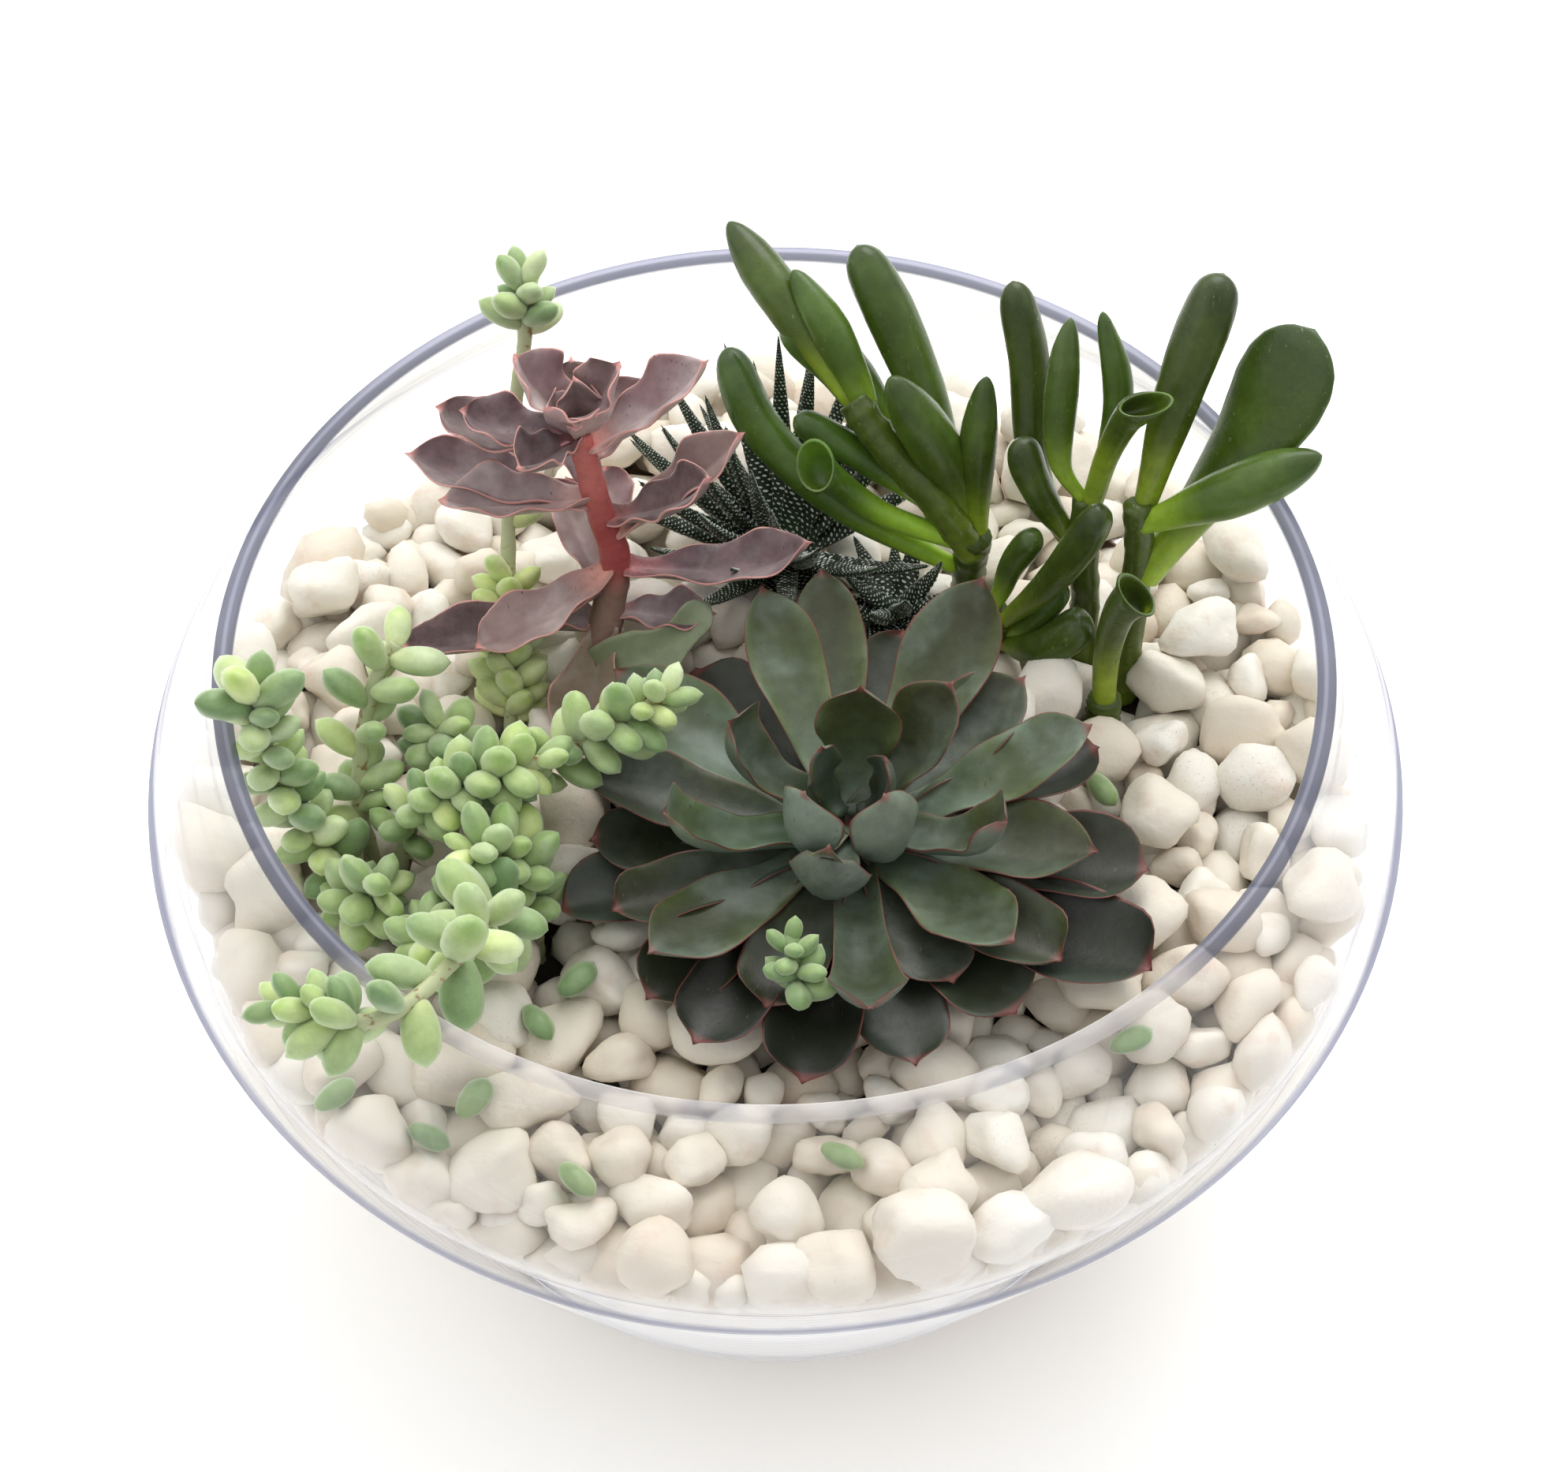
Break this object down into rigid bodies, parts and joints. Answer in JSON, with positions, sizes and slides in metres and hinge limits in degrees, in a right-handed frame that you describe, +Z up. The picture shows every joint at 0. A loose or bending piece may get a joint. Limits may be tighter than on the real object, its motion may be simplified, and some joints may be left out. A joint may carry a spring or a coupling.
{
  "type": "glass plant terrarium",
  "caption": "Wide open glass bowl filled with white marble pebbles round dark potting soil, planted with a mixed group of succulents.",
  "frame": {"origin": "centre of the underside of the glass foot, on the surface that the bowl stands on", "axes": "+Z up along the bowl's axis; -Y is the side that the picture was taken from; +X to its right"},
  "size_m": [0.2918, 0.2918, 0.21],
  "materials": {
    "clear_glass": "polished",
    "white_pebble": "tumbled matte marble",
    "potting_soil": "moist, crumbly",
    "rosette_leaf": "waxy, with a red edge",
    "purple_leaf": "waxy, with a pink edge",
    "jade_leaf": "glossy",
    "haworthia_leaf": "satin, with raised white bands",
    "sedum_leaf": "powdery bloom"
  },
  "bodies": {
    "root": {"glass_bowl": "clear_glass", "echeveria_rosette": "rosette_leaf", "echeveria_purple": "purple_leaf", "jade_back": "jade_leaf", "jade_right_inner": "jade_leaf", "jade_right_outer": "jade_leaf", "jade_right_front": "jade_leaf", "jade_tube_leaf": "jade_leaf", "haworthia_large": "haworthia_leaf", "haworthia_small": "haworthia_leaf", "sedum_tall": "sedum_leaf", "sedum_hanging": "sedum_leaf", "sedum_bare": "sedum_leaf", "sedum_left": "sedum_leaf", "sedum_arm": "sedum_leaf", "sedum_dense": "sedum_leaf", "sedum_middle": "sedum_leaf", "sedum_low_left": "sedum_leaf", "sedum_low_front": "sedum_leaf", "sedum_back": "sedum_leaf", "sedum_sprig": "sedum_leaf", "sedum_fallen_1": "sedum_leaf", "sedum_fallen_2": "sedum_leaf", "sedum_fallen_3": "sedum_leaf", "sedum_fallen_4": "sedum_leaf", "sedum_fallen_5": "sedum_leaf", "sedum_fallen_6": "sedum_leaf", "sedum_fallen_7": "sedum_leaf", "sedum_fallen_8": "sedum_leaf", "sedum_fallen_9": "sedum_leaf", "potting_soil": "potting_soil", "pebble_bed": "white_pebble"}
  },
  "joints": []
}
